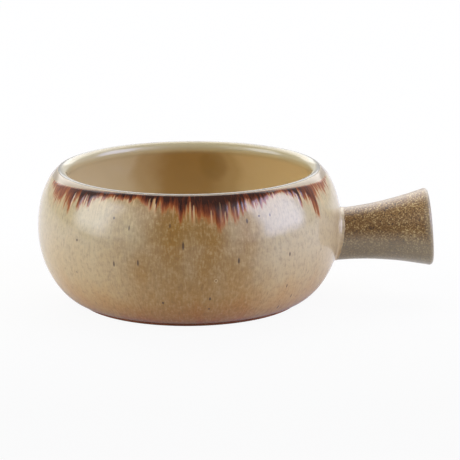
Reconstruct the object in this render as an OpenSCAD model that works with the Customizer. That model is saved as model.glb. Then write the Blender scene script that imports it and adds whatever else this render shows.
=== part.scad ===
// French onion soup crock: a low round stoneware bowl with one hollow side handle.
// The table is z = 0, the bowl's own axis is Z, and the handle points along X.
// Sizes are in millimetres and go over the glaze, as a rule laid on the crock would read them.

/* [Bowl] */
// Outside diameter at the widest part of the belly
belly_d = 130; // [118:1:150]
// Height of the widest part above the table
belly_h = 32; // [28:0.5:38]
// Height of the lip above the table
bowl_h = 57.5; // [54:0.5:70]
// Thickness of the wall at the belly, glaze and all
wall_t = 5.5; // [4.5:0.1:7.5]
// Thickness of the floor at the middle, glaze and all
floor_t = 6; // [5:0.1:8]
// Angle at which the belly springs from the foot
under_angle = 12; // [6:1:25]

/* [Lip] */
// Diameter of the crest of the lip
rim_d = 110; // [100:1:116]
// Radius of the lip's outer edge
lip_out_r = 1.5; // [1.2:0.1:2]
// Radius of the lip's inner edge
lip_in_r = 3; // [2.4:0.1:3.6]
// Lean of the shoulder where it meets the lip, from upright
shoulder_angle = 55; // [45:1:62]
// Lean of the inside wall just under the lip, from upright
under_lip_angle = 35; // [20:1:45]

/* [Foot] */
// Outside diameter of the bare foot ring
foot_d = 95; // [84:1:100]
// Width of the foot ring
foot_w = 6; // [4:0.5:9]
// Height of the bare clay under the edge of the glaze
foot_bare_h = 1.2; // [0.8:0.1:2]
// Depth of the recess inside the foot ring
recess_h = 1.6; // [1:0.1:2.4]
// Bevel on the edges of the foot ring
foot_bevel = 0.4; // [0.2:0.1:0.6]

/* [Handle] */
// Length from the belly to the open end
handle_len = 38.4; // [30:0.2:60]
// Diameter where the handle meets the bowl
root_d = 22.5; // [18:0.5:26]
// Diameter of the open end
end_d = 33.2; // [28:0.2:40]
// Height of the handle's axis where it meets the belly
handle_h = 27.4; // [24:0.1:34]
// Tilt of the handle above level
handle_tilt = 4.3; // [0:0.1:8]
// Thickness of the handle's wall, glaze and all
handle_t = 4; // [3.4:0.1:5]
// Radius of the edges of the open end
end_edge_r = 1.5; // [0.8:0.1:1.7]
// Angle at which the handle opens at its end
flare_angle = 15; // [8:1:20]

/* [Joint of the handle] */
// Radius of the fillet pressed round the root of the handle
fillet_r = 1.2; // [0.8:0.1:2]
// Least gap where one glaze stops short of the next
seam_gap = 0.03; // [0.02:0.01:0.1]

/* [Glaze] */
// Thickness of the glaze on the bowl
glaze_t = 0.5; // [0.3:0.05:0.8]
// Thickness of the glaze on the handle
handle_glaze_t = 0.4; // [0.2:0.05:0.6]
// How far the handle's glaze reaches into its hollow
glaze_in = 9; // [4:1:16]
// How far the iron glaze of the rim stands proud of the glaze below it
rim_glaze_t = 0.3; // [0.15:0.05:0.5]
// Width of the unbroken part of the iron band, seen from above
band_w = 2.1; // [1:0.1:3]
// Number of runs round the rim
runs = 64; // [36:4:80]
// Length of the longest run past the band, seen from above
run_len = 3.6; // [1.5:0.1:4]

/* [Hidden] */
$fn = 300;

// Radii, and how far the root of the handle is drawn into the bowl before it is cut to the wall
belly_r = belly_d / 2;
rim_r = rim_d / 2;
foot_r = foot_d / 2;
foot_in_r = foot_r - foot_w;
recess_r = foot_in_r - recess_h;
root_r = root_d / 2;
end_r = end_d / 2;
root_clay_r = root_r - handle_glaze_t;
root_sink = root_r;
floor_top = recess_h + floor_t;
fillet_sink = fillet_r / 2;
fillet_top = glaze_t + fillet_r;

// Pulls of the curves: each is a share of the run or the rise that its curve covers
low_out_share = 0.47;
low_up_share = 0.49;
high_up_share = 0.52;
high_in_share = 0.6;
inner_high_share = 0.32;
inner_low_share = 0.42;
floor_down_share = 0.8;
floor_in_share = 0.97;
flare_root_share = 0.1;
flare_end_share = 0.52;

// Steps along each stretch of an outline
low_steps = 11;
high_steps = 10;
lip_steps = 4;
inner_steps = 8;
floor_steps = 12;
flare_steps = 12;
fillet_steps = 4;
fillet_stations = 72;

// One run of glaze: share of its width, then share of its reach, from one gap to the next
run_shape_shares = [[0, 0], [0.26, 0.5], [0.41, 0.94], [0.59, 0.94], [0.74, 0.5]];
// The shortest run, and the swings of the two waves that vary the rest
run_base_share = 0.58;
run_wave_share = 0.27;
run_ripple_share = 0.15;
// Turn of each wave from one run to the next, in degrees
run_wave_turn = 107;
run_ripple_turn = 222;

// An outline is a list of stops, each a point and a heading, with the clay to the left of it
function unit(v) = v / norm(v);
function left_of(v) = [-v.y, v.x];
function toward(angle) = [cos(angle), sin(angle)];
function reversed(list) = [for (i = [len(list) - 1:-1:0]) list[i]];
function slice(list, from, to) = [for (i = [from:to]) list[i]];

function bezier_point(p, t) =
    pow(1 - t, 3) * p[0] + 3 * pow(1 - t, 2) * t * p[1] + 3 * (1 - t) * pow(t, 2) * p[2] + pow(t, 3) * p[3];
function bezier_heading(p, t) =
    unit(pow(1 - t, 2) * (p[1] - p[0]) + 2 * (1 - t) * t * (p[2] - p[1]) + pow(t, 2) * (p[3] - p[2]));
function bezier_stops(p, steps, first) =
    [for (i = [first:steps]) [bezier_point(p, i / steps), bezier_heading(p, i / steps)]];
function arc_stops(centre, r, from, to, steps) =
    [for (i = [1:steps]) let (a = from + (to - from) * i / steps) [centre + r * toward(a), left_of(toward(a))]];

// The outline's points, sunk by a depth into the clay
function sunk(stops, depth) = [for (s = stops) s[0] + depth * left_of(s[1])];
// The closed outline of a coat that lies between two depths
function coat(stops, outer, inner) = concat(sunk(stops, outer), reversed(sunk(stops, inner)));

// Outline of the bowl, from the glaze's edge over the foot, up the wall, over the lip and down inside
foot_point = [foot_r + glaze_t, foot_bare_h];
belly_point = [belly_r, belly_h];
lip_out_centre = [rim_r, bowl_h - lip_out_r];
lip_in_centre = [rim_r, bowl_h - lip_in_r];
lip_point = lip_out_centre + lip_out_r * toward(shoulder_angle);
under_lip = lip_in_centre + lip_in_r * toward(180 + under_lip_angle);
inner_belly = [belly_r - wall_t, belly_h];
floor_middle = [0, floor_top];

low_wall = [
    foot_point,
    foot_point + low_out_share * (belly_r - foot_point.x) * toward(under_angle),
    belly_point - [0, low_up_share * (belly_h - foot_bare_h)],
    belly_point];
high_wall = [
    belly_point,
    belly_point + [0, high_up_share * (lip_point.y - belly_h)],
    lip_point - high_in_share * (belly_r - lip_point.x) * left_of(toward(shoulder_angle)),
    lip_point];
inner_wall = [
    under_lip,
    under_lip + inner_high_share * (under_lip.y - belly_h) * left_of(toward(180 + under_lip_angle)),
    inner_belly + [0, inner_low_share * (under_lip.y - belly_h)],
    inner_belly];
inner_floor = [
    inner_belly,
    inner_belly - [0, floor_down_share * (belly_h - floor_top)],
    floor_middle + [floor_in_share * inner_belly.x, 0],
    floor_middle];

outside_stops = concat(bezier_stops(low_wall, low_steps, 0), bezier_stops(high_wall, high_steps, 1));
inside_stops = concat(
    [outside_stops[len(outside_stops) - 1]],
    arc_stops(lip_out_centre, lip_out_r, shoulder_angle, 90, lip_steps),
    arc_stops(lip_in_centre, lip_in_r, 90, 180 + under_lip_angle, lip_steps * 2),
    bezier_stops(inner_wall, inner_steps, 1),
    bezier_stops(inner_floor, floor_steps, 1));
// Only the upper half of the high wall can hold iron glaze
rim_stops = slice(outside_stops, low_steps + high_steps / 2, low_steps + high_steps);

// Outline of the handle, from its root out along the flare, round the open end and back inside
end_out_centre = [end_r - end_edge_r, handle_len - end_edge_r];
end_in_centre = [end_r - handle_t + end_edge_r, handle_len - end_edge_r];
flare_out_end = end_out_centre + end_edge_r * toward(-flare_angle);
flare_in_end = end_in_centre + end_edge_r * toward(180 - flare_angle);
outer_flare = [
    [root_r, 0],
    [root_r, flare_root_share * handle_len],
    flare_out_end - flare_end_share * handle_len * left_of(toward(-flare_angle)),
    flare_out_end];
inner_flare = [
    flare_in_end,
    flare_in_end + flare_end_share * handle_len * left_of(toward(180 - flare_angle)),
    [root_r - handle_t, flare_root_share * handle_len],
    [root_r - handle_t, 0]];
handle_stops = concat(
    [[[root_r, -root_sink], toward(90)]],
    bezier_stops(outer_flare, flare_steps, 0),
    arc_stops(end_out_centre, end_edge_r, -flare_angle, 90, lip_steps * 2),
    arc_stops(end_in_centre, end_edge_r, 90, 180 - flare_angle, lip_steps * 2),
    bezier_stops(inner_flare, flare_steps, 1),
    [[[root_r - handle_t, -root_sink], toward(-90)]]);
// The glazed stops are the outside, the open end and the first part of the hollow
glazed_stops = [for (i = [0:len(handle_stops) - 1])
    if (i <= flare_steps + lip_steps * 2 || handle_stops[i][0].y >= handle_len - glaze_in) handle_stops[i]];

// Lays a shape that is drawn along Z on the axis of the handle
module on_handle_axis() {
    translate([belly_r, 0, handle_h]) rotate([0, 90 - handle_tilt, 0]) children();
}

// The bowl's clay with no hollow, which cuts what stands on its wall
module bowl_core() {
    rotate_extrude() polygon(concat(
        [[0, foot_bare_h]],
        sunk(outside_stops, glaze_t),
        [[0, lip_point.y]]));
}

// The handle's clay with no hollow
module handle_core() {
    outside = [for (s = handle_stops) if (s[0].x >= root_r) s];
    on_handle_axis() rotate_extrude() polygon(concat(
        [[0, -root_sink]],
        sunk(outside, handle_glaze_t),
        [[0, handle_len - end_edge_r]]));
}

// The thrown bowl, with a turned foot ring that is left bare
module bowl_body() {
    foot = [
        [0, recess_h],
        [recess_r, recess_h],
        [foot_in_r - foot_bevel, foot_bevel],
        [foot_in_r, 0],
        [foot_r - foot_bevel, 0],
        [foot_r, foot_bevel],
        [foot_r, foot_bare_h]];
    color("#96694a")
        rotate_extrude() polygon(concat(
            foot,
            sunk(outside_stops, glaze_t),
            slice(sunk(inside_stops, glaze_t), 1, len(inside_stops) - 1)));
}

// The hollow handle, its root cut to lie on the round of the wall
module handle_body() {
    color("#8a6248") difference() {
        on_handle_axis() rotate_extrude() polygon(sunk(handle_stops, handle_glaze_t));
        bowl_core();
    }
}

// How far out along the handle the bowl's wall lies, for a line beside the handle's axis
wall_table = [for (p = sunk(outside_stops, glaze_t)) [p.y, p.x]];
function beside_axis(a, r, out) = [
    belly_r + out * cos(handle_tilt) + r * cos(a) * sin(handle_tilt),
    r * sin(a),
    handle_h + out * sin(handle_tilt) - r * cos(a) * cos(handle_tilt)];
function clear_of_wall(p) = norm([p.x, p.y]) - lookup(p.z, wall_table);
function wall_out(a, r, near = -root_sink, far = root_sink, halvings = 24) =
    let (middle = (near + far) / 2)
    halvings == 0 ? middle
    : clear_of_wall(beside_axis(a, r, middle)) > 0 ? wall_out(a, r, near, middle, halvings - 1)
    : wall_out(a, r, middle, far, halvings - 1);

// Section of the fillet at one angle round the handle: a hollow quarter round on the corner, with
// an edge as thick as the glaze at each end, and its back sunk in both walls before they cut it
function fillet_section(a) =
    let (back_r = root_clay_r - fillet_sink, arc = [for (i = [0:fillet_steps]) 90 * i / fillet_steps])
    concat(
        [[back_r, fillet_top]],
        [for (q = arc) [root_r + fillet_r * (1 - cos(q)), glaze_t + fillet_r * (1 - sin(q))]],
        [[root_r + fillet_r, -fillet_sink], [back_r, -fillet_sink]]);
function fillet_ring(a) =
    [for (p = fillet_section(a)) [p.x * cos(a), p.x * sin(a), wall_out(a, p.x) + p.y]];

// The fillet of slip pressed into the corner round the root of the handle
module handle_fillet() {
    rings = [for (k = [0:fillet_stations - 1]) fillet_ring(360 * k / fillet_stations)];
    size = len(rings[0]);
    points = [for (ring = rings) for (p = ring) p];
    faces = [for (k = [0:fillet_stations - 1]) for (i = [0:size - 1])
        let (
            a = k * size + i,
            b = k * size + (i + 1) % size,
            c = ((k + 1) % fillet_stations) * size + (i + 1) % size,
            d = ((k + 1) % fillet_stations) * size + i)
        for (face = [[a, b, c], [a, c, d]]) face];
    color("#c3a880") difference() {
        on_handle_axis() polyhedron(points, faces);
        bowl_core();
        handle_core();
    }
}

// The glossy glaze of the inside, brought over the lip
module liner_glaze() {
    color("#ab8a5c") rotate_extrude() polygon(coat(inside_stops, 0, glaze_t));
}

// The ochre glaze of the outside, open where the handle is joined
module wall_glaze() {
    color("#bb9d74") difference() {
        rotate_extrude() polygon(coat(outside_stops, 0, glaze_t));
        on_handle_axis() cylinder(h = root_sink * 2, r = root_r + fillet_r, center = true);
    }
}

// How far each run reaches, as a share of the longest
function run_reach_share(k) =
    run_base_share + run_wave_share * sin(k * run_wave_turn) + run_ripple_share * sin(k * run_ripple_turn);

// The iron glaze of the rim, whose lower edge has run down the shoulder in tongues
module rim_glaze() {
    edge_r = lip_point.x + band_w;
    edge = [for (k = [0:runs - 1]) for (s = run_shape_shares)
        (edge_r + run_len * run_reach_share(k) * s[1]) * toward((k + s[0]) * 360 / runs)];
    color("#57301f") intersection() {
        rotate_extrude() polygon(coat(rim_stops, -rim_glaze_t, 0));
        linear_extrude(bowl_h) polygon(edge);
    }
}

// The satin glaze of the handle, over its end and a little way inside
module handle_glaze() {
    shift = fillet_top + seam_gap;
    color("#806543") difference() {
        on_handle_axis() rotate_extrude() polygon(coat(glazed_stops, 0, handle_glaze_t));
        translate(shift * [cos(handle_tilt), 0, sin(handle_tilt)]) bowl_core();
    }
}

// The thin glaze in the recess inside the foot ring
module base_glaze() {
    color("#b3946a") rotate_extrude() polygon([
        [0, recess_h - glaze_t],
        [recess_r + glaze_t, recess_h - glaze_t],
        [recess_r, recess_h],
        [0, recess_h]]);
}

bowl_body();
handle_body();
handle_fillet();
liner_glaze();
wall_glaze();
rim_glaze();
handle_glaze();
base_glaze();
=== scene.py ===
import math

import bpy
import numpy as np
from mathutils import Matrix, Vector


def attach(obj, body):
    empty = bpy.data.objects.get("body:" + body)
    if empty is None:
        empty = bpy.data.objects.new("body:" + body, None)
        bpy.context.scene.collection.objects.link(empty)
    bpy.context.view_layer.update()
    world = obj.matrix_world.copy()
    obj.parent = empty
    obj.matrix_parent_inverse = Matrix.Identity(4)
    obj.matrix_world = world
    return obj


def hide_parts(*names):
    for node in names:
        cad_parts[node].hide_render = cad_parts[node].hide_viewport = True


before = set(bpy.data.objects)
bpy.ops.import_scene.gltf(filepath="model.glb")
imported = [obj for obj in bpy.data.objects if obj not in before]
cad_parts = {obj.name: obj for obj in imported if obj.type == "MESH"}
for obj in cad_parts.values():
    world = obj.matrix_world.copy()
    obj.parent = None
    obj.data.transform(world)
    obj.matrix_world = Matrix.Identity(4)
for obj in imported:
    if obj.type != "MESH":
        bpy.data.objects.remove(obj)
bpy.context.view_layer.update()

# A french onion soup crock in stoneware: ochre glaze outside, iron glaze that has run from the rim, tan
# glaze inside, and a hollow flared handle in a satin speckled glaze. The table is z = 0 and the handle
# points along X. Shapes are worked out in millimetres. Angles round the bowl start at the side that faces
# the photographer and grow toward the handle. The fall is how far down the outside a point lies from the
# edge of the lip, along the wall; inside the lip it is negative.
print("frame loaded:", ", ".join(sorted(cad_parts)))

millimetre = 0.001
crock = {
    "bellyRadius": 65.0, "bellyHeight": 32.0, "lipHeight": 57.5, "wall": 5.5, "floorTop": 7.6,
    "underAngle": 12.0, "rimRadius": 55.0, "lipOuterRadius": 1.5, "lipInnerRadius": 3.0,
    "shoulderAngle": 55.0, "underLipAngle": 35.0, "footRadius": 47.5, "footBare": 1.2, "glaze": 0.5,
}
grip = {
    "length": 38.4, "rootRadius": 11.25, "endRadius": 16.6, "axisHeight": 27.4, "tilt": 4.3, "wall": 4.0,
    "edgeRadius": 1.5, "flareAngle": 15.0, "glazeInside": 9.0, "fillet": 1.2,
}
# Pulls of the outlines' curves: each is a share of the run or the rise that its curve covers
pulls = {
    "lowOut": 0.47, "lowUp": 0.49, "highUp": 0.52, "highIn": 0.6, "innerHigh": 0.32, "innerLow": 0.42,
    "floorDown": 0.8, "floorIn": 0.97, "gripRoot": 0.1, "gripEnd": 0.52,
}


def toward(degrees):  # a step of one at an angle from the first axis
    return np.array([math.cos(math.radians(degrees)), math.sin(math.radians(degrees))])


def leftOf(step):  # the step turned a quarter turn to the left
    return np.array([-step[1], step[0]])


def curve(points, count=240):
    # Cubic curve: its four points weigh (1-t)^3, 3(1-t)^2 t, 3(1-t) t^2 and t^3.
    t = np.linspace(0, 1, count)[:, None]
    first, second, third, fourth = (np.asarray(point, float) for point in points)
    begun = (1 - t) ** 3 * first + 3 * (1 - t) ** 2 * t * second
    return begun + 3 * (1 - t) * t ** 2 * third + t ** 3 * fourth


def arc(centre, radius, start, end, count=80):
    # Circle: the centre plus the radius times the cosine and sine of the angle.
    angle = np.radians(np.linspace(start, end, count))[:, None]
    return np.asarray(centre) + radius * np.hstack([np.cos(angle), np.sin(angle)])


def outline(*stretches):
    # The stretches end to end, with the clay on the left: length along it, place, and the outward step,
    # which is the heading turned a quarter turn to the right.
    points = np.vstack(stretches)
    points = points[np.concatenate([[True], np.hypot(*np.diff(points, axis=0).T) > 1e-6])]
    length = np.concatenate([[0], np.cumsum(np.hypot(*np.diff(points, axis=0).T))])
    heading = np.gradient(points, length, axis=0)
    heading /= np.hypot(*heading.T)[:, None]
    return {"length": length, "across": points[:, 0], "up": points[:, 1],
            "outAcross": heading[:, 1], "outUp": -heading[:, 0]}


def laidOn(line, along, height):
    # The outline's place at a length along it, plus a height times the outward step there.
    across, up, outAcross, outUp = (np.interp(along, line["length"], line[part])
                                    for part in ("across", "up", "outAcross", "outUp"))
    return across + height * outAcross, up + height * outUp


# Outline of the bowl, as the CAD model has it: from the foot up the wall, over the lip and down inside
footPoint = np.array([crock["footRadius"] + crock["glaze"], crock["footBare"]])
bellyPoint = np.array([crock["bellyRadius"], crock["bellyHeight"]])
lipOuterCentre = np.array([crock["rimRadius"], crock["lipHeight"] - crock["lipOuterRadius"]])
lipInnerCentre = np.array([crock["rimRadius"], crock["lipHeight"] - crock["lipInnerRadius"]])
lipPoint = lipOuterCentre + crock["lipOuterRadius"] * toward(crock["shoulderAngle"])
underLip = lipInnerCentre + crock["lipInnerRadius"] * toward(180 + crock["underLipAngle"])
innerBelly = bellyPoint - [crock["wall"], 0]
floorMiddle = np.array([0, crock["floorTop"]])
upward = np.array([0.0, 1.0])
footPull = pulls["lowOut"] * (bellyPoint - footPoint)[0] * toward(crock["underAngle"])
lowWall = curve([footPoint, footPoint + footPull,
                 bellyPoint - pulls["lowUp"] * (bellyPoint - footPoint)[1] * upward, bellyPoint])
shoulderPull = pulls["highIn"] * (bellyPoint - lipPoint)[0] * leftOf(toward(crock["shoulderAngle"]))
highWall = curve([bellyPoint, bellyPoint + pulls["highUp"] * (lipPoint - bellyPoint)[1] * upward,
                  lipPoint - shoulderPull, lipPoint])
innerRise = (underLip - innerBelly)[1]
innerPull = pulls["innerHigh"] * innerRise * leftOf(toward(180 + crock["underLipAngle"]))
innerWall = curve([underLip, underLip + innerPull,
                   innerBelly + pulls["innerLow"] * innerRise * upward, innerBelly])
innerFloor = curve([innerBelly, innerBelly - pulls["floorDown"] * (innerBelly - floorMiddle)[1] * upward,
                    floorMiddle + [pulls["floorIn"] * innerBelly[0], 0], floorMiddle])
bowlLine = outline(
    lowWall, highWall, arc(lipOuterCentre, crock["lipOuterRadius"], crock["shoulderAngle"], 90),
    arc(lipInnerCentre, crock["lipInnerRadius"], 90, 180 + crock["underLipAngle"]), innerWall, innerFloor)
outsideLine = outline(lowWall, highWall)
lipLength = outsideLine["length"][-1]
bowlLength = bowlLine["length"][-1]

# Outline of the handle: radius and length out along its axis, from its root over the open end and back inside
endOuterCentre = np.array([grip["endRadius"] - grip["edgeRadius"], grip["length"] - grip["edgeRadius"]])
endInnerCentre = endOuterCentre + [2 * grip["edgeRadius"] - grip["wall"], 0]
flareOuterEnd = endOuterCentre + grip["edgeRadius"] * toward(-grip["flareAngle"])
flareInnerEnd = endInnerCentre + grip["edgeRadius"] * toward(180 - grip["flareAngle"])
rootOuter = np.array([grip["rootRadius"], 0])
rootInner = np.array([grip["rootRadius"] - grip["wall"], 0])
rootSink = grip["rootRadius"]
rootPull, endPull = pulls["gripRoot"] * grip["length"], pulls["gripEnd"] * grip["length"]
gripLine = outline(
    np.array([rootOuter - rootSink * upward, rootOuter]),
    curve([rootOuter, rootOuter + rootPull * upward,
           flareOuterEnd - endPull * leftOf(toward(-grip["flareAngle"])), flareOuterEnd]),
    arc(endOuterCentre, grip["edgeRadius"], -grip["flareAngle"], 90),
    arc(endInnerCentre, grip["edgeRadius"], 90, 180 - grip["flareAngle"]),
    curve([flareInnerEnd, flareInnerEnd + endPull * leftOf(toward(180 - grip["flareAngle"])),
           rootInner + rootPull * upward, rootInner]))
print("outlines worked out: bowl", round(float(bowlLength), 1), "mm")


def roundBowl(radius, height, angle):
    # A ring of the bowl: x = r sin(angle), y = -r cos(angle), z = height.
    radius, height, angle = np.broadcast_arrays(radius, height, angle)
    return np.stack([radius * np.sin(angle), -radius * np.cos(angle), height], axis=-1)


def roundGrip(radius, out, angle):
    # A ring of the handle: a length out along its tilted axis, and the radius turned round it from below.
    radius, out, angle = np.broadcast_arrays(radius, out, angle)
    tilt = math.radians(grip["tilt"])
    x = crock["bellyRadius"] + out * math.cos(tilt) + radius * np.cos(angle) * math.sin(tilt)
    z = grip["axisHeight"] + out * math.sin(tilt) - radius * np.cos(angle) * math.cos(tilt)
    return np.stack([x, radius * np.sin(angle), z], axis=-1)


def wallOut(radius, angle, halvings=30):
    # How far out along the handle's axis the glazed wall lies, by halving the span again and again.
    radius, angle = np.broadcast_arrays(radius, angle)
    near, far = np.full(radius.shape, -rootSink), np.full(radius.shape, rootSink)
    for _ in range(halvings):
        middle = (near + far) / 2
        place = roundGrip(radius, middle, angle)
        wallRadius = np.interp(place[..., 2], outsideLine["up"], outsideLine["across"])
        clear = np.hypot(place[..., 0], place[..., 1]) > wallRadius
        near, far = np.where(clear, near, middle), np.where(clear, middle, far)
    return (near + far) / 2


def smooth(low, high, value):  # an s-curve from 0 at low to 1 at high
    share = np.clip((value - low) / (high - low), 0, 1)
    return share * share * (3 - 2 * share)


def ringAngles(count):  # angles round a ring, as one row
    return (np.arange(count) * 2 * np.pi / count)[None, :]


def turnFrom(middle, angle):  # the turn from one angle to another, within half a turn either way
    return np.mod(angle - middle + np.pi, 2 * np.pi) - np.pi


def ringNoise(angle, cells, seed):
    # Random values from -1 to 1 at even places round a ring, joined by s-curves.
    values = np.random.default_rng(seed).uniform(-1, 1, cells)
    place = np.mod(angle / (2 * np.pi), 1) * cells
    cell = np.floor(place).astype(int) % cells
    share = smooth(0, 1, place - np.floor(place))
    return values[cell] * (1 - share) + values[(cell + 1) % cells] * share


def layeredNoise(angle, layers):
    # Ring noises added up, each given by its amount, its cells round the ring and its seed.
    return sum(amount * ringNoise(angle, cells, seed) for amount, cells, seed in layers)


def sheetNoise(angle, along, cells, size, seed, rings=64):
    # The same on a sheet: a ring of random values every size millimetres, joined by s-curves both ways.
    values = np.random.default_rng(seed).uniform(-1, 1, (rings, cells))
    row = np.floor(along / size).astype(int)
    share = smooth(0, 1, along / size - row)
    around = np.mod(angle / (2 * np.pi), 1) * cells
    cell = np.floor(around).astype(int) % cells
    turn = smooth(0, 1, around - np.floor(around))
    lower, upper = (values[ring % rings, cell] * (1 - turn) + values[ring % rings, (cell + 1) % cells] * turn
                    for ring in (row, row + 1))
    return lower * (1 - share) + upper * share


def gridFaces(rows, columns, closed):
    # Quads between neighbours of a grid of rings; a closed grid also joins the last ring to the first.
    row, column = np.meshgrid(np.arange(rows if closed else rows - 1), np.arange(columns), indexing="ij")
    nextRow, nextColumn = (row + 1) % rows, (column + 1) % columns
    return np.stack([row * columns + column, row * columns + nextColumn,
                     nextRow * columns + nextColumn, nextRow * columns + column], axis=-1)


def makePiece(name, points, faces, material, slotName, node, **attributes):
    mesh = bpy.data.meshes.new(name)
    mesh.from_pydata((points.reshape(-1, 3) * millimetre).tolist(), [], faces)
    for key, values in attributes.items():
        layer = mesh.attributes.new(key, "FLOAT", "POINT")
        layer.data.foreach_set("value", np.asarray(values, np.float32).ravel())
    mesh.shade_smooth()
    mesh.materials.append(material)
    mesh.validate()
    piece = bpy.data.objects.new(name, mesh)
    bpy.context.scene.collection.objects.link(piece)
    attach(piece, "root")
    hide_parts(node)
    print(name, "made:", len(mesh.vertices), "points,", len(mesh.polygons), "faces")


def colour(hexValue):
    # sRGB to linear light: c / 12.92 up to 0.04045, and ((c + 0.055) / 1.055) ^ 2.4 above it.
    parts = [int(hexValue[place:place + 2], 16) / 255 for place in (1, 3, 5)]
    return (*[part / 12.92 if part <= 0.04045 else ((part + 0.055) / 1.055) ** 2.4 for part in parts], 1.0)


def addNode(tree, kind, inputs=None, stops=(), **settings):
    # Adds a node, sets it, gives its inputs values or links and its ramp the hex colours of the stops, and
    # returns its first output in use.
    node = tree.nodes.new("ShaderNode" + kind)
    for key, value in settings.items():
        setattr(node, key, value)
    for key, value in (inputs or {}).items():
        named = [socket for socket in node.inputs if socket.enabled and socket.name == key]
        socket = named[0] if named else node.inputs[key]
        if isinstance(value, bpy.types.NodeSocket):
            tree.links.new(value, socket)
        else:
            socket.default_value = value
    for place, (position, hexValue) in enumerate(stops):
        points = node.color_ramp.elements
        point = points[place] if place < 2 else points.new(position)
        point.position, point.color = position, colour(hexValue)
    return next((socket for socket in node.outputs if socket.enabled), None)


def newMaterial(name):
    material = bpy.data.materials.new(name)
    material.use_nodes = True
    material.node_tree.nodes.clear()
    return material, material.node_tree


def finishMaterial(tree, look, base, height, more=None):
    # The shader with its colour and a bump whose height is in millimetres. A glossy glaze has a clear coat
    # over a duller body full of fine crystals, which spreads a haze round its highlights.
    bump = addNode(tree, "Bump", {"Height": height, "Strength": 1.0, "Distance": look["bump"] * millimetre})
    inputs = {"Base Color": base, "Normal": bump, "Roughness": look["roughness"], "IOR": look["ior"]}
    if "coat" in look:
        inputs.update({"Coat Weight": 1.0, "Coat Roughness": look["coat"], "Coat IOR": look["ior"],
                       "Coat Normal": bump})
    inputs.update(more or {})
    addNode(tree, "OutputMaterial", {"Surface": addNode(tree, "BsdfPrincipled", inputs)})


def placeInMillimetres(tree):
    place = addNode(tree, "TexCoord").node.outputs["Object"]
    return addNode(tree, "VectorMath", {0: place, "Scale": 1 / millimetre}, operation="SCALE")


def roundAbout(tree, place):
    # The direction round the bowl's axis: x and y over their own length.
    flat = addNode(tree, "VectorMath", {0: place, 1: (1.0, 1.0, 0.0)}, operation="MULTIPLY")
    return addNode(tree, "VectorMath", {0: flat}, operation="NORMALIZE")


patternRadius = 60.0  # of the upright cylinder that the wall's patterns are laid out on, in millimetres


def unrolled(tree, place, fall, stretch):
    # The wall without its bulge: the direction round the bowl times the patterns' radius, and the fall
    # divided by the stretch, so that a pattern runs down the wall and meets itself all round.
    flat = addNode(tree, "VectorMath", {0: roundAbout(tree, place), "Scale": patternRadius},
                   operation="SCALE")
    down = addNode(tree, "Math", {0: fall, 1: -stretch}, operation="DIVIDE")
    down = addNode(tree, "CombineXYZ", {"Z": down})
    return addNode(tree, "VectorMath", {0: flat, 1: down}, operation="ADD")


def wandering(tree, value, noise, amount):
    # The value moved by a noise of 0 to 1, up to half the amount either way.
    swing = addNode(tree, "Math", {0: noise, 1: amount, 2: -amount / 2}, operation="MULTIPLY_ADD")
    return addNode(tree, "Math", {0: value, 1: swing}, operation="ADD")


def layered(tree, base, layers):
    # The base colour with other colours laid over it in turn, each by its share.
    for share, tint in layers:
        base = addNode(tree, "Mix", {"Factor": share, "A": base, "B": tint}, data_type="RGBA")
    return base


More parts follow.
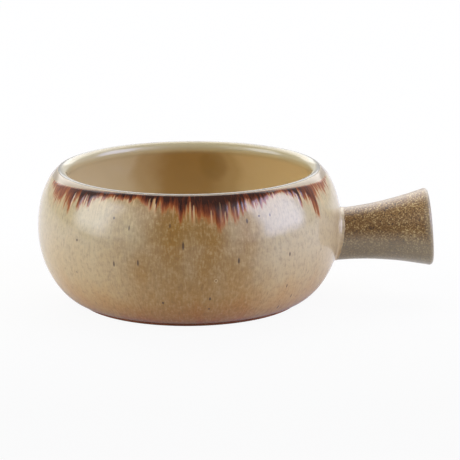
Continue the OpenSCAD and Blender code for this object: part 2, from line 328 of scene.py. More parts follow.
ochreGlaze = {
    "roughness": 0.5, "haze": 0.25, "coat": 0.10, "ior": 1.56, "bump": 0.03, "pebble": 3.0,
    # Down the wall, as shares of its fall: golden where the glaze lies thick, beige where it breaks
    "length": 65.0, "wander": 15.0,
    "golden": [(0.0, "#825616"), (0.25, "#90651e"), (0.50, "#99702e"), (0.70, "#ad7d34"),
               (0.86, "#b87524"), (1.0, "#c05a28")],
    "beige": [(0.0, "#b49a66"), (0.20, "#b7a479"), (0.34, "#bda984"), (0.60, "#c4a87a"),
              (0.76, "#c79c62"), (0.90, "#c68f50"), (1.0, "#c05c30")],
    # The golden glaze laid over the front and the back, by the share of the direction that points there:
    # partly the glaze's own golden, partly painted shade where the side softboxes light less
    "goldenPaintedShade": {"From Min": 0.80, "From Max": 1.05}, "goldenPaintedShadeWander": 0.18,
    "pale": colour("#d8be88"), "dark": colour("#5c3d1a"), "spot": colour("#4a3322"),
    "streakWidth": 0.7, "streakStretch": 4.0, "mottleSize": 1.6, "cloudSize": 9.0,
    "grainSpacing": 2.6, "spotSpacing": 15.0,
    # Where each kind of mark begins and is full, and its greatest share
    "paler": {"From Min": 1.0, "From Max": 1.4, "To Max": 0.45},
    "darker": {"From Min": 1.0, "From Max": 0.6, "To Max": 0.42},
    "grains": {"From Min": 0.16, "From Max": 0.08, "To Max": 0.18},
    "flecks": {"From Min": 0.036, "From Max": 0.016, "To Max": 0.8},
    "flecksBehind": {"From Min": -0.6, "From Max": -0.3},
    "spotMark": {"From Min": 1.4, "From Max": 0.7, "To Max": 0.95},
    "hole": {"From Min": 0.5, "From Max": 0.25, "To Max": 0.7},
    "holeRing": {"From Min": 0.4, "From Max": 0.1, "To Max": 0.55},
    # Iron spots on the side that shows: angle, fall, width and length in degrees and millimetres
    "spots": [(-22.7, 15.0, 0.5, 2.0), (-29.4, 11.6, 0.8, 1.0), (-45.5, 23.1, 0.7, 1.0),
              (-46.9, 37.2, 0.4, 1.0), (-28.4, 30.4, 0.6, 2.2), (-18.9, 29.0, 0.6, 2.4),
              (-7.2, 13.3, 0.5, 1.7), (-2.4, 21.3, 0.7, 3.2), (-10.6, 47.1, 0.7, 1.2),
              (21.7, 12.5, 0.8, 1.8), (17.7, 28.4, 0.7, 2.2), (39.0, 28.6, 0.7, 1.6), (7.5, 45.0, 0.7, 1.5),
              (7.4, 50.6, 0.8, 0.7), (39.9, 43.2, 0.5, 1.5), (31.6, 11.2, 0.6, 1.2), (26.9, 11.0, 0.9, 0.8),
              (44.8, 49.7, 0.5, 1.6), (40.5, 55.3, 0.6, 2.2)],
    # A healed pinhole: angle, fall and radius of its pale ring, and where in that radius the ring lies
    "pinhole": (9.4, 36.4, 0.7), "ringAt": 0.9,
}


def fromSpot(tree, flat, angle, fall, halfWidth, halfLength):
    # How far a point of the unrolled wall lies from a spot, in half widths across and half lengths down.
    turn = math.radians(angle)
    centre = (patternRadius * math.sin(turn), -patternRadius * math.cos(turn), -fall)
    offset = addNode(tree, "VectorMath", {0: flat, 1: centre}, operation="SUBTRACT")
    scaled = addNode(tree, "VectorMath", {0: offset, 1: (1 / halfWidth, 1 / halfWidth, 1 / halfLength)},
                     operation="MULTIPLY")
    return addNode(tree, "VectorMath", {0: scaled}, operation="LENGTH").node.outputs["Value"]


def ochreGlazeColour(tree, place, fall):
    # Ochre rutile glaze: golden under the rim in front, breaking beige on the belly, pink-brown over the clay
    # low down. The golden in front and behind is partly painted shade, where the side softboxes light less.
    # Fine streaks follow its fall, with pale grains and a few iron spots melted out of the clay.
    look = ochreGlaze
    flat = unrolled(tree, place, fall, 1.0)
    cloud = addNode(tree, "TexNoise", {"Vector": unrolled(tree, place, fall, 2.0),
                                       "Scale": 1 / look["cloudSize"], "Detail": 2.0, "Roughness": 0.5})
    level = wandering(tree, fall, cloud, look["wander"])
    level = addNode(tree, "MapRange", {"Value": level, "From Min": 0.0, "From Max": look["length"]})
    golden, beige = (addNode(tree, "ValToRGB", {"Fac": level}, stops=look[part])
                     for part in ("golden", "beige"))
    behind = addNode(tree, "SeparateXYZ", {0: roundAbout(tree, place)}).node.outputs["Y"]
    endOn = addNode(tree, "Math", {0: behind}, operation="ABSOLUTE")
    # Golden in front and behind: partly painted shade, where the side softboxes light less
    paintedGoldenShade = wandering(tree, endOn, cloud, look["goldenPaintedShadeWander"])
    paintedGoldenShade = addNode(tree, "MapRange", {"Value": paintedGoldenShade, **look["goldenPaintedShade"]},
                    interpolation_type="SMOOTHSTEP")
    streaks = addNode(tree, "TexNoise", {"Vector": unrolled(tree, place, fall, look["streakStretch"]),
                                         "Scale": 1 / look["streakWidth"], "Detail": 3.0, "Roughness": 0.6})
    mottles = addNode(tree, "TexNoise", {"Vector": flat, "Scale": 1 / look["mottleSize"], "Detail": 4.0,
                                         "Roughness": 0.65})
    grainy = addNode(tree, "Math", {0: streaks, 1: mottles}, operation="ADD")
    paler, darker = (addNode(tree, "MapRange", {"Value": grainy, **look[part]})
                     for part in ("paler", "darker"))
    grain = addNode(tree, "TexVoronoi", {"Vector": flat, "Scale": 1 / look["grainSpacing"]})
    grain = addNode(tree, "MapRange", {"Value": grain, **look["grains"]})
    fleck = addNode(tree, "TexVoronoi", {"Vector": unrolled(tree, place, fall, 2.0),
                                         "Scale": 1 / look["spotSpacing"]})
    fleck = addNode(tree, "MapRange", {"Value": fleck, **look["flecks"]})
    away = addNode(tree, "MapRange", {"Value": behind, **look["flecksBehind"]})
    spot = addNode(tree, "Math", {0: fleck, 1: away}, operation="MULTIPLY")
    for angle, spotFall, width, length in look["spots"]:
        distance = fromSpot(tree, flat, angle, spotFall, width / 2, length / 2)
        dark = addNode(tree, "MapRange", {"Value": distance, **look["spotMark"]})
        spot = addNode(tree, "Math", {0: spot, 1: dark}, operation="MAXIMUM")
    angle, holeFall, radius = look["pinhole"]
    distance = fromSpot(tree, flat, angle, holeFall, radius, radius)
    hole = addNode(tree, "MapRange", {"Value": distance, **look["hole"]})
    offRing = addNode(tree, "Math", {0: distance, 1: look["ringAt"]}, operation="SUBTRACT")
    offRing = addNode(tree, "Math", {0: offRing}, operation="ABSOLUTE")
    ring = addNode(tree, "MapRange", {"Value": offRing, **look["holeRing"]})
    return layered(tree, beige, [
        (paintedGoldenShade, golden), (paler, look["pale"]), (darker, look["dark"]), (grain, look["pale"]),
        (spot, look["spot"]), (hole, look["spot"]), (ring, look["pale"])])


def makeOchreGlaze():
    # Glossy ochre stoneware glaze, poured and fired: clear reflections over a slightly pebbled skin.
    material, tree = newMaterial("ochreRutileGlaze")
    place = placeInMillimetres(tree)
    fall = addNode(tree, "Attribute", attribute_name="fall").node.outputs["Fac"]
    base = ochreGlazeColour(tree, place, fall)
    pebble = addNode(tree, "TexNoise", {"Vector": place, "Scale": 1 / ochreGlaze["pebble"], "Detail": 2.0})
    finishMaterial(tree, ochreGlaze, base, pebble, {"Specular IOR Level": ochreGlaze["haze"]})
    return material


ironGlaze = {
    "roughness": 0.5, "coat": 0.10, "ior": 1.56, "bump": 0.03, "pebble": 3.0,
    # From where the iron thins out to where it lies thick
    "shades": [(0.10, "#ad7039"), (0.36, "#8f4c24"), (0.62, "#642d13"), (0.92, "#32160b")],
    # Pale ochre in the gaps, and the colour of the painted reflection under the lip
    "pale": colour("#d2b07c"), "wiped": colour("#907955"),
    # Feathering within the iron, and how thin iron covers the ochre glaze
    "featherWidth": 0.65, "featherStretch": 7.0, "feather": 0.95, "feathersFull": 0.2,
    "cover": {"From Min": 0.04, "From Max": 0.26}, "gapShare": 0.8,
    # The band's depth, how softly it ends, and the noises of its lower edge by amount, cells and seed
    "band": 1.7, "fade": (-1.5, 7.6), "lowerEdge": [(0.9, 23, 31), (2.2, 157, 32), (2.2, 311, 34)],
    # Its runs and the pale gaps between them, in millimetres, with how far each strays from its even place in
    # spaces, how strong they are, and where their sides and ends turn soft, as shares
    "seed": 33, "stray": 1.5,
    "runs": 110, "shortest": 5.0, "longest": 12.0, "lengthPower": 1.7, "halfWidths": (0.4, 1.2),
    "runStrengths": (0.5, 1.0), "widest": 1.15, "taper": 0.5, "narrowest": 0.2,
    "runSide": (0.4, 1.0), "runEnd": (0.35, 1.0),
    "gaps": 120, "gapTops": (2.0, 6.0), "gapEnd": (6.0, 11.0), "gapWidth": 0.2, "gapOpens": 0.09,
    "gapStrengths": (0.2, 1.0), "gapSide": (0.35, 1.0), "gapStart": (0.0, 0.7), "gapCut": 0.85,
    # The pale band under the lip, a painted reflection that widens toward the sides: its width, and the
    # degrees from the front where it begins and is full
    "wipe": 3.3, "lipReflectionFrom": 20.0, "lipReflectionFull": 78.0, "lipReflectionEdge": 0.5,
    # Where the band lies thin or deep: angle and half width in degrees, and the share of its depth that is
    # missing or added
    "depths": [(-84.0, 9.0, -0.85), (-60.0, 9.0, 0.5), (-28.0, 13.0, -0.5), (9.0, 13.0, 0.5),
               (39.0, 11.0, -0.55), (57.0, 9.0, 0.6), (84.0, 9.0, -0.85)],
    # Toward the sides the band lies thinner and stays rust: degrees from the front, and the share gone
    "rustFrom": 44.0, "rustFull": 62.0, "rustShare": 0.42,
    # The skin in millimetres: proud by thickness, by iron and by fall, and sunk at its lower edge and lip
    "thickness": 0.2, "skin": 0.04, "sunk": 0.015, "sunkLip": 0.15, "overLip": 0.45, "backDepth": 0.3,
    "proudIron": (0.05, 0.9), "proudFall": (-0.2, 6.0), "lipFade": 0.5,
    "rows": 48, "backRows": 5, "places": 1400, "skirt": 21.0, "skirtFrom": 20.5, "skirtFade": 9.0,
}


def makeIronGlaze():
    # Iron saturated rim glaze: near black where thick, red-brown where it thins, and rust in its runs,
    # between which the ochre glaze below stands out pale. Thick iron glaze has no crystals and no haze.
    # Under the lip toward the sides it carries a pale painted reflection.
    look = ironGlaze
    material, tree = newMaterial("ironRimGlaze")
    place = placeInMillimetres(tree)
    fall, iron, gap, wiped = (addNode(tree, "Attribute", attribute_name=name).node.outputs["Fac"]
                              for name in ("fall", "iron", "gap", "wiped"))
    feather = addNode(tree, "TexNoise", {"Vector": unrolled(tree, place, fall, look["featherStretch"]),
                                         "Scale": 1 / look["featherWidth"], "Detail": 2.0, "Roughness": 0.6})
    uneven = addNode(tree, "Math", {0: feather, 1: look["feather"], 2: -look["feather"] / 2},
                     operation="MULTIPLY_ADD")
    present = addNode(tree, "MapRange", {"Value": iron, "From Max": look["feathersFull"]})
    thick = addNode(tree, "Math", {0: uneven, 1: present, 2: iron}, operation="MULTIPLY_ADD")
    shade = addNode(tree, "ValToRGB", {"Fac": thick}, stops=look["shades"])
    share = addNode(tree, "MapRange", {"Value": thick, **look["cover"]})
    gap = addNode(tree, "Math", {0: gap, 1: look["gapShare"]}, operation="MULTIPLY")
    # Under the lip toward the sides, a pale painted reflection
    base = layered(tree, ochreGlazeColour(tree, place, fall), [
        (share, shade), (gap, look["pale"]), (wiped, look["wiped"])])
    haze = addNode(tree, "MapRange", {"Value": share, "To Min": ochreGlaze["haze"], "To Max": 0.0})
    pebble = addNode(tree, "TexNoise", {"Vector": place, "Scale": 1 / look["pebble"], "Detail": 2.0})
    finishMaterial(tree, look, base, pebble, {"Specular IOR Level": haze})
    return material


linerGlaze = {
    "roughness": 0.5, "coat": 0.08, "ior": 1.54, "bump": 0.03, "pebble": 4.0,
    "crest": colour("#655c46"), "olive": colour("#aea078"), "tan": colour("#cdbc95"),
    # Of these, the two darkest tans are painted shade on the far inner wall
    "golden": colour("#d2b782"), "paintedShadeDeep": colour("#ae8b51"), "paintedShadePool": colour("#92743e"),
    "cloudSize": 16.0, "haze": 0.3,
    # Golden toward the handle, by X, and by fall thin and brown on the crest and olive just inside the lip
    "goldenSide": {"From Min": -30.0, "From Max": 25.0},
    "crestEdge": {"From Min": -2.4, "From Max": -1.0}, "oliveEdge": {"From Min": -9.5, "From Max": -4.5},
    # Painted shade on the far inner wall, drawn as a deeper curtain of glaze with a run in it: angle, fall,
    # half width and half length
    "paintedShadeCurtain": (181.0, -20.0, 24.0, 45.0), "run": (169.0, -14.0, 7.0, 9.0),
    "paintedShadeCurtainEdge": {"From Min": 1.2, "From Max": 0.9, "To Max": 0.5},
    "paintedShadeCurtainHeart": {"From Min": 0.85, "From Max": 0.35, "To Max": 0.5},
    "paintedShadeRunMark": {"From Min": 1.2, "From Max": 0.6, "To Max": 0.4},
    "paintedShadeCurtainWander": 0.6, "crestWander": 1.6,
}


def makeLinerGlaze():
    # Glossy tan liner glaze, olive round the lip and brown over the crest, where it is so thin that the clay
    # shows through. The crest looks pale where it mirrors the lamps. The far inner wall is darker as painted
    # shade.
    look = linerGlaze
    material, tree = newMaterial("tanLinerGlaze")
    place = placeInMillimetres(tree)
    fall = addNode(tree, "Attribute", attribute_name="fall").node.outputs["Fac"]
    cloud = addNode(tree, "TexNoise", {"Vector": place, "Scale": 1 / look["cloudSize"], "Detail": 3.0})
    flat = unrolled(tree, place, fall, 1.0)
    # Painted shade on the far inner wall, with a darker run in it
    paintedShadeCurtain, run = (wandering(tree, fromSpot(tree, flat, *look[part]), cloud, look["paintedShadeCurtainWander"])
                    for part in ("paintedShadeCurtain", "run"))
    edge, heart, run, olive = (
        addNode(tree, "MapRange", {"Value": value, **look[part]}, interpolation_type="SMOOTHSTEP")
        for value, part in ((paintedShadeCurtain, "paintedShadeCurtainEdge"), (paintedShadeCurtain, "paintedShadeCurtainHeart"), (run, "paintedShadeRunMark"),
                            (fall, "oliveEdge")))
    paintedShadeCurtain = addNode(tree, "Math", {0: edge, 1: heart}, operation="ADD")
    side = addNode(tree, "SeparateXYZ", {0: place}).node.outputs["X"]
    side = addNode(tree, "MapRange", {"Value": side, **look["goldenSide"]})
    crest = wandering(tree, fall, cloud, look["crestWander"])
    crest = addNode(tree, "MapRange", {"Value": crest, **look["crestEdge"]})
    base = layered(tree, look["tan"], [
        (side, look["golden"]), (paintedShadeCurtain, look["paintedShadeDeep"]), (run, look["paintedShadePool"]), (olive, look["olive"]),
        (crest, look["crest"])])
    pebble = addNode(tree, "TexNoise", {"Vector": place, "Scale": 1 / look["pebble"], "Detail": 2.0})
    finishMaterial(tree, look, base, pebble, {"Specular IOR Level": look["haze"]})
    return material


satinGlaze = {
    "roughness": 0.5, "coat": 0.28, "ior": 1.43, "bump": 0.06, "grain": 0.36, "cloudSize": 6.0,
    "grains": [(0.32, "#3c260a"), (0.45, "#765019"), (0.56, "#8b6731"), (0.68, "#c8b078")],
    "cloudShare": 0.25, "ashAndPaintedReflection": colour("#aaa48c"),
    # The pale colour below, by height, is a painted reflection of the table; at the end, by length along X,
    # it is ash where the glaze breaks; both in millimetres
    "under": {"From Min": 33.0, "From Max": 24.0, "To Max": 0.5},
    "edge": {"From Min": 98.5, "From Max": 103.0, "To Max": 0.5},
}


def makeSatinGlaze():
    # Satin handle glaze full of grit: brown and olive grains of about 0.4 mm in a dull skin, pale underneath
    # as a painted reflection of the table, and ashy where it breaks over the end.
    look = satinGlaze
    material, tree = newMaterial("satinSpeckledGlaze")
    place = placeInMillimetres(tree)
    grit = addNode(tree, "TexNoise", {"Vector": place, "Scale": 0.5 / look["grain"], "Detail": 2.0,
                                      "Roughness": 0.7})
    cloud = addNode(tree, "TexNoise", {"Vector": place, "Scale": 1 / look["cloudSize"], "Detail": 3.0})
    mixed = wandering(tree, grit, cloud, look["cloudShare"])
    base = addNode(tree, "ValToRGB", {"Fac": mixed}, stops=look["grains"])
    where = addNode(tree, "SeparateXYZ", {0: place}).node.outputs
    # Paler below as a painted reflection of the table, and ash at the end where the glaze breaks
    under, edge = (addNode(tree, "MapRange", {"Value": where[axis], **look[part]},
                           interpolation_type="SMOOTHSTEP") for axis, part in (("Z", "under"), ("X", "edge")))
    share = addNode(tree, "Math", {0: under, 1: edge}, operation="MAXIMUM")
    finishMaterial(tree, look, layered(tree, base, [(share, look["ashAndPaintedReflection"])]), mixed)
    return material


bareClay = {"roughness": 0.75, "ior": 1.5, "bump": 0.06, "clay": colour("#a8663f"), "dark": colour("#7d4428"),
            "pale": colour("#b58c69"), "cloudSize": 5.0, "grain": 0.6,
            "paleGrit": {"From Min": 0.6, "From Max": 0.75}}


def makeBareClay():
    # Unglazed stoneware, fired red-brown and slightly gritty.
    look = bareClay
    material, tree = newMaterial("bareStonewareClay")
    place = placeInMillimetres(tree)
    cloud = addNode(tree, "TexNoise", {"Vector": place, "Scale": 1 / look["cloudSize"], "Detail": 4.0})
    grit = addNode(tree, "TexNoise", {"Vector": place, "Scale": 1 / look["grain"], "Detail": 2.0})
    share = addNode(tree, "MapRange", {"Value": grit, **look["paleGrit"]})
    base = layered(tree, look["clay"], [(cloud, look["dark"]), (share, look["pale"])])
    finishMaterial(tree, look, base, grit)
    return material


ochreMaterial = makeOchreGlaze()
ironMaterial = makeIronGlaze()
linerMaterial = makeLinerGlaze()
satinMaterial = makeSatinGlaze()
clayMaterial = makeBareClay()
print("materials made")


wallGlaze = {"columns": 360, "rows": 92, "thickness": 0.46, "inset": 0.02, "ripple": 0.05, "rippleCells": 9,
             "rippleSize": 11.0, "rippleSeed": 5, "footFade": 6.0, "lipFade": 8.0, "footSteps": 3,
             "holeRadius": 11.6, "lipOverlap": 0.05}


def wallHeight(angle, along):
    # The ochre glaze lies up to 0.07 mm inside the outline, in soft ripples that fade at foot and lip.
    look = wallGlaze
    fade = smooth(0, look["footFade"], along) * smooth(0, look["lipFade"], lipLength - along)
    ripple = sheetNoise(angle, along, look["rippleCells"], look["rippleSize"], look["rippleSeed"]) - 1
    return fade * (look["ripple"] / 2 * ripple - look["inset"])


def makeWallGlaze():
    # Outer skin from the foot to the lip and the same skin 0.46 mm deeper, closed at the foot by half a
    # circle and at the lip by one strip. The cells round the root of the handle are left out and their edge
    # is walled.
    look = wallGlaze
    angle = ringAngles(look["columns"])
    edge = look["thickness"] / 2
    outer = np.linspace(edge, lipLength - look["lipOverlap"], look["rows"])
    turn = np.linspace(0, np.pi, look["footSteps"] + 2)[1:-1]
    along = np.concatenate([outer, outer[::-1], edge - edge * np.sin(turn)])[:, None]
    height = np.concatenate([np.zeros(look["rows"]), np.full(look["rows"], -look["thickness"]),
                             -edge - edge * np.cos(turn)])[:, None]
    radius, up = laidOn(bowlLine, along, height + wallHeight(angle, along))
    points = roundBowl(radius, up, angle)
    rows, columns = points.shape[:2]
    faces = gridFaces(rows, columns, True)
    # A cell is in the hole where its middle lies near the handle's axis; both skins have the same hole
    tilt = math.radians(grip["tilt"])
    above, beside = np.roll(points, -1, 0), np.roll(points, -1, 1)
    middle = (points + above + beside + np.roll(points, (-1, -1), (0, 1))) / 4
    side = np.hypot(middle[..., 1], -(middle[..., 0] - crock["bellyRadius"]) * math.sin(tilt)
                    + (middle[..., 2] - grip["axisHeight"]) * math.cos(tilt))
    skin = look["rows"] - 1
    outside = ((side < look["holeRadius"]) & (middle[..., 0] > 0))[:skin]
    hole = np.zeros((rows, columns), bool)
    hole[:skin] = outside
    hole[look["rows"]:look["rows"] + skin] = outside[::-1]
    # Walls of the hole, on its upright and its level cell edges
    index = np.arange(rows * columns).reshape(rows, columns)
    across = 2 * look["rows"] - 1 - np.arange(look["rows"])  # the inner skin's row that faces an outer one

    def holeWall(row, column, endRow, endColumn, turned):
        quads = np.stack([index[row, column], index[endRow, endColumn], index[across[endRow], endColumn],
                          index[across[row], column]], axis=-1)
        return np.where(turned[:, None], quads[:, ::-1], quads)

    row, column = np.nonzero(outside != np.roll(outside, 1, 1))
    upright = holeWall(row, column, row + 1, column, ~outside[row, column])
    row, column = np.nonzero(outside[1:] != outside[:-1])
    level = holeWall(row + 1, column, row + 1, (column + 1) % columns, outside[row + 1, column])
    kept = np.vstack([faces[~hole], upright, level])
    used, renumbered = np.unique(kept, return_inverse=True)
    fall = np.broadcast_to(lipLength - along, (rows, columns))
    makePiece("wallGlaze", points.reshape(-1, 3)[used], renumbered.reshape(kept.shape).tolist(),
              ochreMaterial, "wall_glaze", "wall_glaze", fall=fall.ravel()[used])


def ironRuns(angle, fall):
    # Thickness of the iron glaze from 0 to 1: an unbroken band of wandering depth, joined to its runs. A run
    # is strength x (1 - s(distance / half width)) x (1 - s(fall / length)), s an s-curve, and grows narrower
    # as it falls. Pale gaps are wedges that open as they fall, and the iron is cut away in them.
    look = ironGlaze
    random = np.random.default_rng(look["seed"])
    fromFront = np.degrees(np.abs(turnFrom(0, angle)))
    # A pale painted reflection under the lip, widening toward the sides; the iron band starts lower under it
    top = look["wipe"] * smooth(look["lipReflectionFrom"], look["lipReflectionFull"], fromFront)
    wiped = 1 - smooth(-look["lipReflectionEdge"], look["lipReflectionEdge"], fall - top)
    full = np.ones_like(angle)
    for middle, half, added in look["depths"]:
        turned = turnFrom(math.radians(middle), angle)
        full = full + added * np.exp(-(turned / math.radians(half)) ** 2)
    fall = np.maximum(fall - top / 2, 0) / full
    depth = look["band"] + layeredNoise(angle, look["lowerEdge"])
    iron = 1 - smooth(*look["fade"], fall - depth)
    gap = np.zeros_like(iron)
    for run in range(look["runs"]):
        middle = (run + random.uniform(-look["stray"], look["stray"])) * 2 * np.pi / look["runs"]
        length = random.uniform() ** look["lengthPower"]
        length = look["shortest"] + (look["longest"] - look["shortest"]) * length
        halfWidth, strength = random.uniform(*look["halfWidths"]), random.uniform(*look["runStrengths"])
        distance = np.abs(turnFrom(middle, angle)) * patternRadius
        width = halfWidth * np.maximum(look["widest"] - look["taper"] * fall / length, look["narrowest"])
        share = 1 - smooth(*look["runSide"], distance / width)
        iron = np.maximum(iron, strength * (share * (1 - smooth(*look["runEnd"], fall / length))))
    for wedge in range(look["gaps"]):
        middle = (wedge + random.uniform(-look["stray"], look["stray"])) * 2 * np.pi / look["gaps"]
        top, strength = random.uniform(*look["gapTops"]), random.uniform(*look["gapStrengths"])
        halfWidth = look["gapWidth"] + look["gapOpens"] * np.maximum(fall - top, 0)
        distance = np.abs(turnFrom(middle, angle)) * patternRadius
        share = (1 - smooth(*look["gapSide"], distance / halfWidth)) * smooth(*look["gapStart"], fall - top)
        gap = np.maximum(gap, strength * share * (1 - smooth(*look["gapEnd"], fall)))
    iron = iron * (1 - look["rustShare"] * smooth(look["rustFrom"], look["rustFull"], fromFront))
    return iron * (1 - look["gapCut"] * gap) * (1 - wiped), gap * (1 - wiped), wiped


def makeRimGlaze():
    # A skin over the shoulder. It stands up to 0.2 mm proud where the iron is thick and sinks into the ochre
    # glaze at its lower edge and over the lip. Low down it follows the ochre glaze, so its edge is flush.
    look = ironGlaze
    angle = ringAngles(look["places"])
    outer = np.linspace(lipLength - look["skirt"], lipLength + look["overLip"], look["rows"])[:, None]
    fall = lipLength - outer
    iron, gap, wiped = ironRuns(angle, fall)
    proud = smooth(*look["proudIron"], iron) * smooth(*look["proudFall"], fall)
    proud = (look["thickness"] - look["skin"]) * proud
    kept = smooth(look["skirtFrom"], look["skirt"] - look["skirtFade"], fall)
    height = (look["skin"] + look["sunk"]) * kept + proud * kept - look["sunk"]
    height = height + wallHeight(angle, outer)
    height = (height + look["sunkLip"]) * smooth(-look["overLip"], look["lipFade"], fall) - look["sunkLip"]
    inner = np.linspace(outer[-1, 0] - 0.05, outer[0, 0] + 0.05, look["backRows"])[:, None]
    innerHeight = np.full((look["backRows"], look["places"]), -look["backDepth"])
    along = np.vstack([np.broadcast_to(outer, height.shape), np.broadcast_to(inner, innerHeight.shape)])
    radius, up = laidOn(bowlLine, along, np.vstack([height, innerHeight]))
    points = roundBowl(radius, up, angle)
    faces = gridFaces(*points.shape[:2], True).reshape(-1, 4)
    below = np.zeros_like(innerHeight)
    makePiece("rimGlaze", points, faces.tolist(), ironMaterial, "iron_glaze", "rim_glaze",
              fall=lipLength - along, iron=np.vstack([iron, below]), gap=np.vstack([gap, below]),
              wiped=np.vstack([wiped, below]))


linerSkin = {"columns": 300, "rows": 130, "thickness": 0.47, "lipOverlap": 0.05, "poleGap": 1.2,
             "crowded": 0.75, "crowdPower": 1.5}


def makeLinerSkin():
    # From the lip's outer edge over the crest and down to the middle of the floor, and back 0.47 mm deeper.
    # Each skin ends in one point on the axis. The rows lie closer together on the lip.
    look = linerSkin
    angle = ringAngles(look["columns"])
    share = np.linspace(0, 1, look["rows"])
    reach = bowlLength - look["poleGap"] - lipLength
    share = (1 - look["crowded"]) * share + look["crowded"] * share ** look["crowdPower"]
    along = lipLength - look["lipOverlap"] + reach * share
    skins = []
    for depth in (0.0, look["thickness"]):
        radius, up = laidOn(bowlLine, along[:, None], -depth)
        skins.append(roundBowl(radius, up, angle).reshape(-1, 3))
    size = look["rows"] * look["columns"]
    poles = [[0, 0, crock["floorTop"]], [0, 0, crock["floorTop"] - look["thickness"]]]
    points = np.vstack([*skins, poles])
    faces = gridFaces(look["rows"], look["columns"], False).reshape(-1, 4)
    edge = np.arange(look["columns"])
    following = (edge + 1) % look["columns"]
    last = size - look["columns"]
    lip = np.stack([size + edge, size + following, following, edge], axis=-1)
    upper = np.stack([last + edge, last + following, np.full_like(edge, 2 * size)], axis=-1)
    lower = np.stack([size + last + following, size + last + edge, np.full_like(edge, 2 * size + 1)], axis=-1)
    allFaces = [*faces.tolist(), *(faces[:, ::-1] + size).tolist(), *lip.tolist(), *upper.tolist(),
                *lower.tolist()]
    fall = np.broadcast_to((lipLength - along)[:, None], (look["rows"], look["columns"])).ravel()
    fall = np.concatenate([fall, fall, [lipLength - bowlLength] * 2])
    makePiece("linerGlaze", points, allFaces, linerMaterial, "liner_glaze", "liner_glaze", fall=fall)


gripGlaze = {"columns": 240, "rows": 150, "thickness": 0.39, "fromWall": 0.6, "uneven": 0.05,
             "unevenCells": 8, "unevenSize": 7.0, "unevenSeed": 41, "unevenFade": 3.0,
             "thinFrom": 0.94, "thinned": 0.9}


def makeHandleGlaze():
    # The handle's skin from under the fillet, out along the flare, round the end and 9 mm into the hollow,
    # and back on the clay. Its start follows the saddle that the wall cuts, and in the hollow it thins out.
    look = gripGlaze
    angle = ringAngles(look["columns"])
    start = rootSink + wallOut(np.full(angle.shape, grip["rootRadius"]), angle) + look["fromWall"]
    inHollow = (gripLine["length"] > rootSink + grip["length"]) & (
        gripLine["up"] < grip["length"] - grip["glazeInside"])
    share = np.linspace(0, 1, look["rows"])[:, None]
    along = start + (gripLine["length"][np.argmax(inHollow)] - start) * share
    uneven = sheetNoise(angle, along, look["unevenCells"], look["unevenSize"], look["unevenSeed"]) - 1
    uneven = look["uneven"] * uneven * smooth(0, look["unevenFade"], along - start)
    thin = smooth(look["thinFrom"], 1.0, share)
    height = uneven * (1 - thin) - look["thinned"] * look["thickness"] * thin
    height = np.vstack([height, np.full(along.shape, -look["thickness"])])
    radius, out = laidOn(gripLine, np.vstack([along, along[::-1]]), height)
    points = roundGrip(radius, out, angle)
    faces = gridFaces(*points.shape[:2], True).reshape(-1, 4)
    makePiece("handleGlaze", points, faces.tolist(), satinMaterial, "handle_glaze", "handle_glaze")


fillet = {
    "columns": 240, "steps": 14, "proud": 0.10,
    # Points past each end of the hollow quarter round: a step out from the handle and a step off the wall
    "tongue": [[-0.15, 0.9], [0.0, 0.7], [0.05, 0.45], [0.08, 0.2]],
    "skirt": [[0.4, 0.012], [0.9, 0.0], [1.4, -0.06]],
    "sunkSide": 1.2, "sunkDepth": 0.5, "backSide": 0.6, "backSlant": 0.1,
    # The ragged edge: its mean, and its noises by amount, cells and seed
    "raggedMean": 0.5, "ragged": [(0.35, 9, 51), (0.25, 31, 52), (0.12, 80, 53)],
}


def makeHandleFillet():
    # A hollow quarter round in the corner between wall and handle: radius + r (1 - cos), off the wall
    # r (1 - sin). On the wall it ends flush with the ochre glaze, and on the handle in a ragged thin edge.
    look = fillet
    angle = ringAngles(look["columns"])
    root, size = grip["rootRadius"], grip["fillet"]
    ragged = look["raggedMean"] + layeredNoise(angle, look["ragged"])
    quarter = np.linspace(0, np.pi / 2, look["steps"])[:, None]
    level = np.zeros_like(angle)
    tongue, skirt = np.array(look["tongue"]), np.array(look["skirt"])
    back = np.array([[size + look["sunkSide"], -look["sunkDepth"]], [-look["backSide"], -look["sunkDepth"]],
                     [-look["backSide"] - look["backSlant"], size]])
    radius = np.vstack([
        root + tongue[:, :1] + level,
        root + look["proud"] * (1 - quarter / (np.pi / 2)) + size * (1 - np.cos(quarter)) + level,
        root + size + skirt[:, :1] + level,
        root + back[:, :1] + level])[::-1]
    lift = np.vstack([
        size + tongue[:, 1:] * ragged,
        size * (1 - np.sin(quarter)) + level,
        skirt[:, 1:] + level,
        back[:, 1:] + level])[::-1]
    points = roundGrip(radius, wallOut(radius, angle) + lift, angle)
    fall = lipLength - np.interp(points[..., 2], outsideLine["up"], outsideLine["length"])
    faces = gridFaces(*points.shape[:2], True).reshape(-1, 4)
    makePiece("handleFillet", points, faces.tolist(), ochreMaterial, "wall_glaze", "handle_fillet", fall=fall)


makeWallGlaze()
makeRimGlaze()
makeLinerSkin()
makeHandleGlaze()
makeHandleFillet()

# The clay and the glaze in the foot's recess keep the CAD model's meshes
for nodeName, material in (("bowl_body", clayMaterial), ("handle_body", clayMaterial),
                           ("base_glaze", ochreMaterial)):
    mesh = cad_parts[nodeName].data
    mesh.materials.clear()
    mesh.materials.append(material)
print("clay and base glaze dressed")


# The table: its size and where its shade begins and is full, in metres, its colours, and how much of plain
# white the camera and the mirrored rays see
stage = {"floorSize": 60.0, "floor": colour("#d6d4d1"), "far": colour("#979593"), "showWhite": 0.93,
         "showPale": 0.15, "shade": {"From Min": 0.04, "From Max": -0.16}}


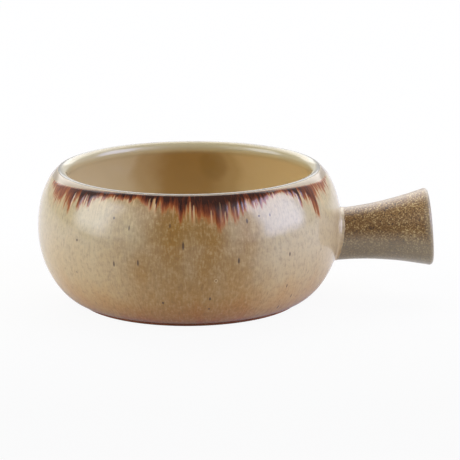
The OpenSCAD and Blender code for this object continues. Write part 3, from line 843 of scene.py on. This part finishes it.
def makeFloor():
    # A plain pale table, in shade toward the photographer. The camera sees the part round the crock close to
    # white, with the crock's shadow.
    half = stage["floorSize"] / 2
    corners = [(-half, -half, 0), (half, -half, 0), (half, half, 0), (-half, half, 0)]
    mesh = bpy.data.meshes.new("floor")
    mesh.from_pydata(corners, [], [(0, 1, 2, 3)])
    floor = bpy.data.objects.new("floor", mesh)
    bpy.context.scene.collection.objects.link(floor)
    material, tree = newMaterial("paleTable")
    seen = addNode(tree, "LightPath").node.outputs
    mirrored = addNode(tree, "Math", {0: seen["Is Glossy Ray"], 1: seen["Is Transmission Ray"]},
                       operation="MAXIMUM")
    mirrored = addNode(tree, "Math", {0: mirrored, 1: stage["showPale"]}, operation="MULTIPLY")
    direct = addNode(tree, "Math", {0: seen["Is Camera Ray"], 1: stage["showWhite"]}, operation="MULTIPLY")
    direct = addNode(tree, "Math", {0: direct, 1: mirrored}, operation="MAXIMUM")
    depth = addNode(tree, "TexCoord").node.outputs["Object"]
    depth = addNode(tree, "SeparateXYZ", {0: depth}).node.outputs["Y"]
    shade = addNode(tree, "MapRange", {"Value": depth, **stage["shade"]})
    matte = addNode(tree, "BsdfDiffuse", {"Color": layered(tree, stage["floor"], [(shade, stage["far"])])})
    white = addNode(tree, "Emission", {"Color": (1.0, 1.0, 1.0, 1.0), "Strength": 1.0})
    mixed = addNode(tree, "MixShader", {0: direct, 1: matte, 2: white})
    addNode(tree, "OutputMaterial", {"Surface": mixed})
    mesh.materials.append(material)


# Softboxes by direction: azimuth from the photographer's side toward the handle and elevation in degrees,
# half width, half height and soft edge as slopes, brightness beside a white wall's 1, and tint
softboxes = {
    "left": (-81.0, 23.0, 0.30, 0.36, 0.14, 3.3, "#e8f0ff"),
    "right": (78.0, 25.0, 0.37, 0.42, 0.12, 4.8, "#c8d4ff"),
    "leftGlow": (-64.0, 24.0, 0.54, 0.48, 0.32, 1.5, "#ffffff"),
    "rightGlow": (60.0, 24.0, 0.54, 0.48, 0.32, 1.3, "#f2efff"),
    "rear": (180.0, 45.0, 0.80, 0.58, 0.08, 2.1, "#ffffff"),
}
# Brightness of the surround, from the photographer's side to behind the crock, by how far back a ray points
surround = {"From Min": 0.1, "From Max": 0.6, "To Min": 0.22, "To Max": 0.62}


def makeStudio():
    # Round the crock: dim toward the photographer, a softbox with a wide soft glow at each side, and one high
    # up behind. The camera sees white.
    world = bpy.data.worlds.new("studio")
    bpy.context.scene.world = world
    world.use_nodes = True
    tree = world.node_tree
    tree.nodes.clear()
    ray = addNode(tree, "TexCoord").node.outputs["Generated"]
    ray = addNode(tree, "VectorMath", {0: ray}, operation="NORMALIZE")
    depth = addNode(tree, "SeparateXYZ", {0: ray}).node.outputs["Y"]
    plain = addNode(tree, "MapRange", {"Value": depth, **surround})
    total = addNode(tree, "CombineXYZ", {"X": plain, "Y": plain, "Z": plain})
    for azimuth, elevation, halfWidth, halfHeight, edge, level, tint in softboxes.values():
        azimuth, elevation = math.radians(azimuth), math.radians(elevation)
        forward = Vector((math.sin(azimuth) * math.cos(elevation), -math.cos(azimuth) * math.cos(elevation),
                          math.sin(elevation)))
        side = Vector((math.cos(azimuth), math.sin(azimuth), 0))
        ahead, sideways, upright = (
            addNode(tree, "VectorMath", {0: ray, 1: axis[:]}, operation="DOT_PRODUCT").node.outputs["Value"]
            for axis in (forward, side, forward.cross(side)))
        share = addNode(tree, "Math", {0: ahead, 1: 0.05}, operation="GREATER_THAN")  # on the box's side
        for across, half in ((sideways, halfWidth), (upright, halfHeight)):
            slope = addNode(tree, "Math", {0: across, 1: ahead}, operation="DIVIDE")
            slope = addNode(tree, "Math", {0: slope}, operation="ABSOLUTE")
            inside = addNode(tree, "MapRange", {"Value": slope, "From Min": half + edge,
                                                "From Max": half - edge}, interpolation_type="SMOOTHSTEP")
            share = addNode(tree, "Math", {0: share, 1: inside}, operation="MULTIPLY")
        light = [part * level for part in colour(tint)[:3]]
        light = addNode(tree, "VectorMath", {0: light, "Scale": share}, operation="SCALE")
        total = addNode(tree, "VectorMath", {0: total, 1: light}, operation="ADD")
    lit = addNode(tree, "Background", {"Color": total})
    white = addNode(tree, "Background", {"Color": (1.0, 1.0, 1.0, 1.0)})
    direct = addNode(tree, "LightPath").node.outputs["Is Camera Ray"]
    addNode(tree, "OutputWorld", {"Surface": addNode(tree, "MixShader", {0: direct, 1: lit, 2: white})})


# The camera as fitted to the crock's outline: the point that it circles and its distance in metres, its
# height angle and roll in degrees, the focal length in pixels of a 460 pixel picture, and where in that
# picture the point lies, from the middle.
camera = {"target": (0.0, 0.0, 0.030), "distance": 1.0, "elevation": 13.417, "roll": 0.520,
          "focalPixels": 2328.0, "picture": 460.0, "offsetX": -40.31, "offsetY": -1.08}


def makeCamera():
    elevation, roll = math.radians(camera["elevation"]), math.radians(camera["roll"])
    right = Vector((1, 0, 0))
    up = Vector((0, math.sin(elevation), math.cos(elevation)))
    ahead = Vector((0, math.cos(elevation), -math.sin(elevation)))
    place = Vector(camera["target"]) - ahead * camera["distance"]
    rolledRight = right * math.cos(roll) - up * math.sin(roll)
    rolledUp = right * math.sin(roll) + up * math.cos(roll)
    aim = ahead - rolledRight * (camera["offsetX"] / camera["focalPixels"])
    aim = (aim + rolledUp * (camera["offsetY"] / camera["focalPixels"])).normalized()
    right = (rolledRight - aim * rolledRight.dot(aim)).normalized()
    up = right.cross(aim)
    data = bpy.data.cameras.new("camera")
    data.sensor_width = 36.0
    data.lens = camera["focalPixels"] * data.sensor_width / camera["picture"]
    data.clip_start, data.clip_end = 0.05, 50.0
    holder = bpy.data.objects.new("camera", data)
    bpy.context.scene.collection.objects.link(holder)
    holder.matrix_world = Matrix((
        (right.x, up.x, -aim.x, place.x), (right.y, up.y, -aim.y, place.y), (right.z, up.z, -aim.z, place.z),
        (0, 0, 0, 1)))
    bpy.context.scene.camera = holder


makeFloor()
makeStudio()
makeCamera()
bpy.context.scene.view_settings.view_transform = "Standard"
print("stage, light and camera set")
